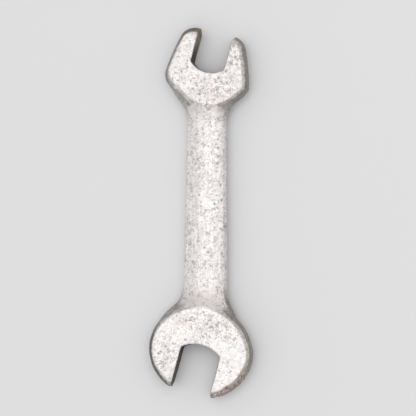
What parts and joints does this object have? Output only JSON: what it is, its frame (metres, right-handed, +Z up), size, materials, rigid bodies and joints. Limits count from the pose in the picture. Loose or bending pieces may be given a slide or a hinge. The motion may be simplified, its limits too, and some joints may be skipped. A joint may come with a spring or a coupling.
{
  "type": "double open-end wrench",
  "caption": "Flat drop-forged wrench with an open jaw at each end, angled to the shank, and a worn, pitted bare steel surface.",
  "frame": {"origin": "middle of the bottom of the wrench's bounding box, on the surface it lies on", "axes": "+Y along the shank towards the small jaw, +Z up through the thickness, +X across the shank"},
  "size_m": [0.0342, 0.1198, 0.0063],
  "materials": {
    "forged_steel": "bare worn forged steel: bright satin faces with fine dark pits, greyer sides, brown staining at the edges"
  },
  "bodies": {
    "root": {"small_jaw_head": "forged_steel", "shank": "forged_steel", "large_jaw_head": "forged_steel"}
  },
  "joints": []
}
